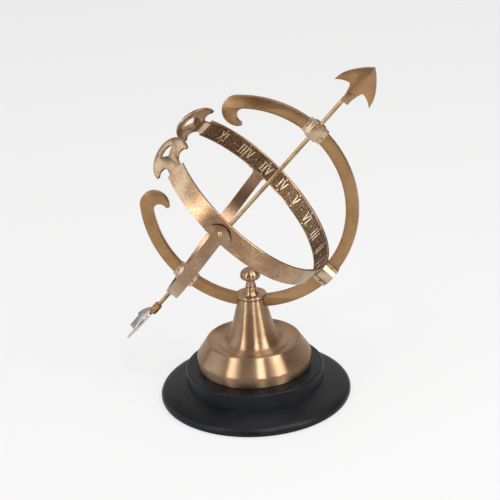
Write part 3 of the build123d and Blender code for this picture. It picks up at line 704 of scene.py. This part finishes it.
def join(pieces):
    """Makes one mesh of several pieces, under the first one's name."""
    bpy.ops.object.select_all(action="DESELECT")
    for piece in pieces:
        piece.select_set(True)
    bpy.context.view_layer.objects.active = pieces[0]
    bpy.ops.object.join()
    return bpy.context.object


def stroke(start, end, width, height=BAND_RECESS):
    """A straight raised stroke between two points in the glyph's own plane."""
    run = Vector((end[0] - start[0], end[1] - start[1], 0))
    middle = Vector(((start[0] + end[0]) / 2, (start[1] + end[1]) / 2, 0)) * MM
    matrix = frame_of(middle, run, Vector((0, 0, 1)))
    return bar("stroke", (run.length, width, 2 * height), matrix, 0.18)


def glyph(letter):
    """A slab-serif I, V or X, modelled once, flat, about its own middle."""
    top = NUMERAL_HEIGHT / 2
    foot = top - SERIF / 2
    if letter == "I":
        parts = [stroke((0, -top), (0, top), STROKE)]
        serifs = [(0, foot, 1.15), (0, -foot, 1.15)]
    elif letter == "V":
        parts = [stroke((-1.75, top), (0, -top), STROKE)]
        parts.append(stroke((1.75, top), (0, -top), STROKE * THIN_STROKE))
        serifs = [(-1.7, foot, 1.0), (1.7, foot, 1.0)]
    else:
        parts = [stroke((-1.6, top), (1.6, -top), STROKE)]
        parts.append(stroke((1.6, top), (-1.6, -top), STROKE * THIN_STROKE))
        serifs = [(x, y, 1.0) for x in (-1.6, 1.6) for y in (-foot, foot)]
    parts += [stroke((x - half, y), (x + half, y), SERIF) for x, y, half in serifs]
    return join(parts)


def stop(x, y, radius):
    """A round stop or bead on the recess."""
    bpy.ops.object.select_all(action="DESELECT")
    bpy.ops.mesh.primitive_cylinder_add(
        vertices=12, radius=radius * MM, depth=2 * BAND_RECESS * MM, location=(x * MM, y * MM, 0)
    )
    piece = bpy.context.object
    bpy.ops.object.mode_set(mode="EDIT")
    bpy.ops.mesh.bevel(offset=0.2 * MM, segments=2, affect="EDGES")
    bpy.ops.object.mode_set(mode="OBJECT")
    bpy.ops.object.transform_apply(location=True, rotation=False, scale=False)
    return piece


def roll_inside(piece):
    """Rolls a flat piece on to the floor of the band's recess: X becomes the arc."""
    floor_radius = (BAND_INNER + BAND_RECESS) * MM
    for vertex in piece.data.vertices:
        angle = vertex.co.x / floor_radius
        reach = floor_radius - vertex.co.z
        vertex.co = BAND_FRAME @ Vector((reach * cos(angle), reach * sin(angle), vertex.co.y))


def strip_loop(section):
    """A closed loop of vertices in the XZ plane, one for each point of a section."""
    piece = chain("hoop", [(x, 0, z) for x, z in section])
    bpy.ops.mesh.select_all(action="SELECT")
    bpy.ops.mesh.select_mode(type="VERT")
    bpy.ops.object.mode_set(mode="OBJECT")
    ends = {0, len(section) - 1}
    for vertex in piece.data.vertices:
        vertex.select = vertex.index in ends
    bpy.ops.object.mode_set(mode="EDIT")
    bpy.ops.mesh.edge_face_add()
    bpy.ops.mesh.select_all(action="SELECT")
    return piece


half = BAND_WIDTH / 2
inner = BAND_INNER
floor_at = BAND_INNER + BAND_RECESS
band_section = [
    (BAND_RADIUS, half - 0.25), (BAND_RADIUS - 0.25, half),
    (inner + 0.2, half), (inner, half - 0.2),
    (inner, half - BAND_RIM + 0.1), (floor_at, half - BAND_RIM - 0.15),
    (floor_at, -half + BAND_RIM + 0.15), (inner, -half + BAND_RIM - 0.1),
    (inner, -half + 0.2), (inner + 0.2, -half),
    (BAND_RADIUS - 0.25, -half), (BAND_RADIUS, -half + 0.25),
]
hoop = strip_loop(band_section)
bpy.ops.mesh.spin(
    steps=180, angle=radians(BAND_NEAR_END - BAND_FAR_END),
    center=(0, 0, 0), axis=(0, 0, 1), use_auto_merge=False,
)
bpy.ops.object.mode_set(mode="OBJECT")
start = Matrix.Rotation(radians(BAND_NEAR_END), 4, "Z")
hoop.data.transform(BAND_FRAME @ start)
only(hoop)
bpy.ops.object.mode_set(mode="EDIT")
bpy.ops.mesh.select_all(action="DESELECT")
bpy.ops.mesh.select_non_manifold(
    extend=False, use_wire=False, use_boundary=True,
    use_multi_face=False, use_non_contiguous=False, use_verts=False,
)
bpy.ops.mesh.edge_face_add()
bpy.ops.object.mode_set(mode="OBJECT")
closed(hoop, 30)

glyphs = {letter: glyph(letter) for letter in "IVX"}
figures = []
for word, angle in HOURS:
    x = radians(angle) * floor_at
    width = sum(GLYPH_PITCH[letter] for letter in word)
    pen = x - width / 2
    for letter in word:
        pen += GLYPH_PITCH[letter] / 2
        copy = glyphs[letter].copy()
        copy.data = glyphs[letter].data.copy()
        copy.data.transform(Matrix.Translation((pen * MM, 0, 0)))
        bpy.context.collection.objects.link(copy)
        figures.append(copy)
        pen += GLYPH_PITCH[letter] / 2
    for side in (-1, 1):
        figures.append(stop(x, side * (half - BAND_RIM - 1.1), 0.75))
hour_angles = sorted(angle for word, angle in HOURS)
for before, after in zip(hour_angles, hour_angles[1:]):
    figures.append(stop(radians((before + after) / 2) * floor_at, 0, 0.6))
figures.append(stop(radians(BAND_FAR_END - 2.1) * floor_at, 0, 0.55))
for piece in glyphs.values():
    bpy.data.objects.remove(piece)
figures = join(figures)
roll_inside(figures)

ANCHOR_LENGTH = 27.3
ANCHOR_REACH = 16.3
ANCHOR_HALF_WIDTH = 17.6
ANCHOR_HORNS = 7.3
ANCHOR_NOTCH = 4.7
ANCHOR_NOTCH_RADIUS = 5.1
ANCHOR_NECK = 5.6


def anchor_outline():
    """Half of the anchor's outline from its neck round to its crown, and its mirror."""
    notch = (ANCHOR_NOTCH, ANCHOR_NECK + ANCHOR_NOTCH_RADIUS)
    horn = sqrt(ANCHOR_NOTCH_RADIUS ** 2 - (ANCHOR_HORNS - ANCHOR_NOTCH) ** 2)
    top = degrees(atan2(horn, ANCHOR_HORNS - ANCHOR_NOTCH))
    middle = ANCHOR_LENGTH - ANCHOR_REACH
    side = [(-0.6, ANCHOR_NECK), *arc(notch, ANCHOR_NOTCH_RADIUS, -90, top, 20)]
    first = pi - asin(sqrt(1 - ((ANCHOR_HORNS - middle) / ANCHOR_REACH) ** 2))
    turns = [first * (1 - i / 32) for i in range(33)]
    side.append((side[-1][0] + 0.1, side[-1][1] + 0.9))
    side += [(middle + ANCHOR_REACH * cos(turn), ANCHOR_HALF_WIDTH * sin(turn)) for turn in turns]
    return side + [(x, -y) for x, y in reversed(side[:-1])]


opening = smooth([(19.7, -6.9), (21.7, -3.6), (22.4, 0), (21.7, 3.6), (19.7, 6.9)])
opening += smooth([(19.6, 6.85), (17.2, 3.2), (14.9, 0.1)], 5)[1:]
opening += smooth([(14.9, -0.1), (17.2, -3.2), (19.6, -6.85)], 5)
anchors = []
for end in (BAND_NEAR_END, BAND_FAR_END):
    side = 1 if end > 0 else -1
    out = BAND_FRAME.to_3x3() @ Vector((cos(radians(end)), sin(radians(end)), 0))
    along = BAND_FRAME.to_3x3() @ Vector((-sin(radians(end)), cos(radians(end)), 0))
    place_here = frame_of(BAND_CENTRE + out * (BAND_RADIUS + BAND_INNER) / 2 * MM, along * side, out)
    outlines = [anchor_outline(), opening]
    anchors.append(plate("anchor", outlines, BAND_RADIUS - BAND_INNER, 0.25, place_here))
equator_band = join([hoop, figures, *anchors])
only(equator_band)
bpy.ops.object.shade_smooth_by_angle(angle=radians(30))


RAISED_BRIGHT = (0.74, 0.56, 0.37, 1)


def band_brass():
    """Antique brass, dark on the floor of the recess and rubbed bright on what stands in it."""
    made, shader, place = material("band_brass")
    inputs = {0: place, 1: BAND_CENTRE}
    offset = place.make("ShaderNodeVectorMath", {"operation": "SUBTRACT"}, inputs)
    height = offset.dot(BAND_AXIS)
    squared = offset.dot(offset) - height * height
    reach = squared.math("SQRT", squared)
    recess = ramp(reach, (BAND_INNER + 0.12) * MM, (BAND_INNER + 0.42) * MM)
    recess = recess * (1 - ramp(reach, (BAND_INNER + 0.62) * MM, (BAND_INNER + 0.7) * MM))
    rim_start = (BAND_WIDTH / 2 - BAND_RIM) * MM
    rims = ramp(height.math("ABSOLUTE", height), rim_start - 0.3 * MM, rim_start - 0.1 * MM)
    raised = (1 - ramp(reach, (BAND_INNER + 0.1) * MM, (BAND_INNER + 0.3) * MM)) * (1 - rims)
    cloud = noise(place, 55, 5, 0.6)
    fine = noise(place, 640, 3)
    worn = ramp(cloud * 0.7 + fine * 0.3, 0.38, 0.62)
    plain = mix(worn, (*ANTIQUE_DARK, 1), (0.49, 0.335, 0.20, 1))
    dark = mix(ramp(fine, 0.35, 0.7), (0.10, 0.055, 0.03, 1), (0.26, 0.165, 0.095, 1))
    drive(
        shader,
        Base_Color=mix(raised, mix(recess, plain, dark), RAISED_BRIGHT),
        Metallic=1.0,
        Roughness=0.22 + cloud * 0.10 + recess * 0.16,
        Normal=bump(fine * (0.4 + recess * 2.2), 0.05 * MM, 0.6),
    )
    return made


finish(equator_band, band_brass(), "sphere", "antique_brass", "equator_band")

# ------------------------------------------------------------------ cross strap and its screws
# A flat brass strap cut with an axe-shaped end, rolled to a half hoop round the south pole
# outside the ring, and screwed to the band through each end. Brass slotted screws.
STRAP_TILT = radians(3.9)
STRAP_SKEW = radians(0.65)
STRAP_REACH = 89.5
STRAP_INNER = 77.9
STRAP_THICKNESS = 2.0
STRAP_HALF = 4.8
STRAP_BENDS = 49
SCREW_BEYOND = 4.6
BARBS = {-1: 0.6, 1: -8.9}
STRAP_WAY = ROD_WAY * cos(STRAP_TILT) - ROD_SIDE * sin(STRAP_TILT)
STRAP_ACROSS = ACROSS * cos(STRAP_SKEW) + ACROSS.cross(STRAP_WAY) * sin(STRAP_SKEW)
STRAP_POLE = ROD_CENTRE - ROD_WAY * STRAP_REACH * MM
STRAP_CENTRE = STRAP_POLE + STRAP_WAY * STRAP_INNER * MM
STRAP_FRAME = frame_of(STRAP_CENTRE, -STRAP_WAY, STRAP_ACROSS.cross(STRAP_WAY))
STRAP_MIDDLE = STRAP_INNER + STRAP_THICKNESS / 2
QUARTER = STRAP_MIDDLE * pi / 2


def strap_end(side):
    """One end of the flattened strap, from its arm to its crown; X is along the strap."""
    barbs = QUARTER + (STRAP_REACH - STRAP_INNER) + BARBS[side]
    flare = [(-5.6, STRAP_HALF), (-3.2, 4.95), (-0.6, 6.6), (-0.7, 10.3)]
    crown = [(0.3, 10.2), (4.2, 9.2), (7.3, 6.6), (9.5, 3.2), (10.2, 0)]
    line = [(barbs + x, y) for x, y in smooth(flare, 5) + smooth(crown, 5)]
    return line + [(x, -y) for x, y in reversed(line[:-1])]


strap_outline = strap_end(1) + [(-x, y) for x, y in reversed(strap_end(-1))]
strap_outline.reverse()
flat = plate("hour_strap", [strap_outline], STRAP_THICKNESS, 0.3, Matrix.Identity(4))
only(flat)
bpy.ops.object.mode_set(mode="EDIT")
for bend in range(-STRAP_BENDS, STRAP_BENDS + 1):
    bpy.ops.mesh.select_all(action="SELECT")
    bpy.ops.mesh.bisect(
        plane_co=(QUARTER * bend / STRAP_BENDS * MM, 0, 0), plane_no=(1, 0, 0),
        clear_inner=False, clear_outer=False,
    )
bpy.ops.object.mode_set(mode="OBJECT")
for vertex in flat.data.vertices:
    x, y, z = vertex.co / MM
    reach = STRAP_MIDDLE + z
    past = max(abs(x) - QUARTER, 0)
    turn = (abs(x) - past) / STRAP_MIDDLE
    side = 1 if x > 0 else -1
    bent = Vector((reach * cos(turn) - past, side * reach * sin(turn), y))
    vertex.co = STRAP_FRAME @ (bent * MM)
hour_strap = closed(flat, 30)
strap_brass = antique_brass("strap_brass", (0.44, 0.295, 0.185), (0.25, 0.145, 0.09), 0.24, patchy=36)
finish(hour_strap, strap_brass, "sphere", "antique_brass", "hour_strap")

screw_brass = antique_brass("screw_brass", (0.86, 0.62, 0.24), (0.55, 0.36, 0.13), 0.22, patchy=300)
screws = []
for side in (-1, 1):
    head = turned("screw", [
        (0, -3.9), (1.05, -3.9), (1.05, 0.02), (1.75, 0.02),
        (1.8, 0.2), (1.65, 0.55), (1.2, 0.8), (0, 0.88),
    ], 32)
    cut(head, bar("driver_slot", (4.4, 0.45, 0.9), Matrix.Translation((0, 0, 0.85 * MM))))
    centre = STRAP_POLE + STRAP_WAY * (STRAP_REACH + BARBS[side] + SCREW_BEYOND) * MM
    head.data.transform(frame_of(
        centre + STRAP_ACROSS * side * (STRAP_INNER + STRAP_THICKNESS) * MM,
        STRAP_WAY + STRAP_WAY.cross(ACROSS), STRAP_ACROSS * side,
    ))
    screws.append(head)
strap_screws = closed(join(screws), 30)
finish(strap_screws, screw_brass, "sphere", "bright_brass", "strap_screws")

# ------------------------------------------------------------------ arrow rod, collar and nut
# A drawn brass rod that turns in the saddles, with a rounded collar and a round nut on
# either side of the strap at the south pole.
ROD_FRAME = frame_of(ROD_CENTRE, ACROSS, ROD_WAY)
ROD_RADIUS = 1.6
ROD_START = -122.9
ARROW_START = 112.0
TENON_RADIUS = 1.2
TENON_END = 119.0
COLLAR_RADIUS = 5.2
COLLAR_START = -89.2
COLLAR_END = -86.6
COLLAR_ROUND = 1.0
NUT_RADIUS = 3.2
NUT_START = -96.5
rod_brass = antique_brass("rod_brass", (0.52, 0.345, 0.17), (0.29, 0.175, 0.085), 0.22, patchy=120)
# The thrust collar's near-black brass is painted shade, for the shade where the rod leaves the south
# saddle, not a dark metal.
dark_brass = antique_brass("dark_brass", (0.17, 0.125, 0.095), (0.07, 0.05, 0.04), 0.28, patchy=200)
grey_brass = antique_brass("grey_brass", (0.36, 0.27, 0.19), (0.20, 0.14, 0.10), 0.30, patchy=200)


def on_rod(name, profile, look, slot, steps=48):
    """A turned piece on the rod's line; heights are distances from the ring's centre."""
    piece = turned(name, profile, steps, 30)
    piece.data.transform(ROD_FRAME)
    finish(piece, look, "gnomon", slot, name)


on_rod("gnomon_rod", [
    (0, ROD_START), (ROD_RADIUS - 0.2, ROD_START), (ROD_RADIUS, ROD_START + 0.2),
    (ROD_RADIUS, ARROW_START - 0.2), (ROD_RADIUS - 0.2, ARROW_START), (TENON_RADIUS, ARROW_START),
    (TENON_RADIUS, TENON_END - 0.2), (TENON_RADIUS - 0.2, TENON_END), (0, TENON_END),
], rod_brass, "rod_brass")
on_rod("thrust_collar", [
    (ROD_RADIUS, COLLAR_START), (COLLAR_RADIUS - 1.1, COLLAR_START),
    *arc((COLLAR_RADIUS - COLLAR_ROUND, COLLAR_START + COLLAR_ROUND), COLLAR_ROUND, -90, 0, 6),
    *arc((COLLAR_RADIUS - COLLAR_ROUND, COLLAR_END - COLLAR_ROUND), COLLAR_ROUND, 0, 90, 6),
    (ROD_RADIUS, COLLAR_END), (ROD_RADIUS, COLLAR_START),
], dark_brass, "dark_brass")
on_rod("pole_nut", [
    (ROD_RADIUS, NUT_START), (NUT_RADIUS - 0.6, NUT_START), (NUT_RADIUS - 0.1, NUT_START + 0.6),
    (NUT_RADIUS, NUT_START + 1.3), (NUT_RADIUS - 0.3, NUT_START + 1.9), (NUT_RADIUS, NUT_START + 2.5),
    (NUT_RADIUS, NUT_START + 3.8), (NUT_RADIUS - 0.3, NUT_START + 4.4), (ROD_RADIUS, NUT_START + 4.4),
    (ROD_RADIUS, NUT_START),
], grey_brass, "dark_brass")

# ------------------------------------------------------------------ arrowhead, ferrule and tail
# A broad head cut from brass plate with a thicker socket for the rod's tenon; a turned
# ferrule, and a folded sheet tail with two barbs a side, soldered in the ferrule's slot.
ARROW_LENGTH = 34.6
ARROW_HALF = 16.4
ARROW_BARB = 8.6
ARROW_SET = 1.6
STEM = 3.2
FERRULE_START = -126.5


def arrow_side():
    """Half of the arrowhead's outline, from its socket round the barb to its point."""
    throat = smooth([
        (2.6, STEM), (6.6, STEM + 0.5), (ARROW_BARB + 4.4, STEM + 2.4), (ARROW_BARB + 4.9, STEM + 5.0),
        (ARROW_BARB + 2.9, STEM + 9.5), (ARROW_BARB, ARROW_HALF),
    ])
    edge = smooth([
        (ARROW_BARB + 0.2, ARROW_HALF + 0.05), (ARROW_BARB + 7.4, ARROW_HALF * 0.9),
        (ARROW_LENGTH * 0.66, ARROW_HALF * 0.67), (ARROW_LENGTH * 0.86, ARROW_HALF * 0.33),
        (ARROW_LENGTH, 0.15),
    ])
    return [(0, STEM), *throat, *edge]


side = arrow_side()
arrow_frame = frame_of(
    ROD_CENTRE + (ROD_WAY * ARROW_START + ROD_SIDE * ARROW_SET) * MM, ROD_WAY, ROD_SIDE.cross(ROD_WAY)
)
blade = plate("arrowhead", [side + [(x, -y) for x, y in reversed(side)]], 2.8, 0.3, arrow_frame)
socket = bar("socket", (9.0, 2 * STEM, 4.4), arrow_frame @ Matrix.Translation((4.5 * MM, 0, 0)), 0.5)
arrowhead = join([blade, socket])
only(arrowhead)
bpy.ops.object.shade_smooth_by_angle(angle=radians(30))
finish(arrowhead, cast_brass, "gnomon", "cast_brass", "arrowhead")

on_rod("tail_ferrule", [
    (ROD_RADIUS, FERRULE_START), (2.5, FERRULE_START), (2.9, FERRULE_START + 0.4),
    *smooth([
        (3.1, FERRULE_START + 1.5), (3.2, FERRULE_START + 3.7),
        (3.15, FERRULE_START + 5.9), (2.75, FERRULE_START + 6.7),
    ], 4),
    (3.1, FERRULE_START + 7.2), (3.2, FERRULE_START + 8.1), (3.0, FERRULE_START + 9.0),
    (2.6, FERRULE_START + 9.3), (ROD_RADIUS, FERRULE_START + 9.3), (ROD_RADIUS, FERRULE_START),
], cast_brass, "cast_brass")

TAIL_START = 126.6
TAIL_LENGTH = 27.0
TAIL_TURN = 12.0
TAIL_FOLD = 22.0
TAIL_SHOULDER = 5.4
TAIL_HALF = 12.0
TAIL_NARROW = 9.7
TAIL_BARB = 15.0
TAIL_NOTCH = 4.0
FOLD_OVERLAP = -0.6
vane_outline = [
    (-3.4, FOLD_OVERLAP), (-3.4, 2.0), (0.1, 2.0), (0.1, TAIL_SHOULDER),
    *smooth([(0.6, TAIL_SHOULDER + 0.6), (6.75, 9.6), (11.5, TAIL_HALF - 0.6), (TAIL_BARB, TAIL_HALF)]),
    (TAIL_BARB, TAIL_NARROW), (TAIL_LENGTH, TAIL_NARROW), (TAIL_LENGTH - TAIL_NOTCH, FOLD_OVERLAP),
]
vanes = []
for side in (1, -1):
    rise = radians(TAIL_TURN * side + TAIL_FOLD)
    across = ACROSS * side * cos(rise) - ROD_SIDE * sin(rise)
    here = frame_of(ROD_CENTRE - ROD_WAY * TAIL_START * MM, -ROD_WAY, (-ROD_WAY).cross(across))
    vanes.append(plate("tail_fletching", [vane_outline], 1.6, 0.2, here))
tail = join(vanes)
only(tail)
bpy.ops.object.shade_smooth_by_angle(angle=radians(30))
# The tail is a pale grey-pink rather than brass yellow: a painted reflection of the pale backdrop on its
# upper face.
tail_brass_painted_reflection = antique_brass("tail_brass_painted_reflection", (0.60, 0.52, 0.46), (0.44, 0.36, 0.31), 0.20, patchy=80)
finish(tail, tail_brass_painted_reflection, "gnomon", "bright_brass", "tail_fletching")

# ------------------------------------------------------------------ hidden fixings
# The steel tie bolt and washer under the base, the clamp's stud, and the brass dowels and
# rivet keep their CAD shapes.
steel, shader, place = material("plated_steel")
grain = noise(place, 900, 2)
drive(
    shader,
    Base_Color=mix(grain, (0.42, 0.42, 0.43, 1), (0.60, 0.60, 0.61, 1)),
    Metallic=1.0,
    Roughness=0.3 + grain * 0.1,
)
# The saddle pins and band rivet share the saddles' brass, with its painted highlight.
looks = {
    "tie_bolt": steel, "tie_washer": steel, "clamp_stud": steel,
    "cap_pins": knob_brass, "saddle_pins": saddle_brass_painted_highlight, "band_rivet": saddle_brass_painted_highlight,
}
for name, look in looks.items():
    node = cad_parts[name]
    node.data.materials.clear()
    node.data.materials.append(look)
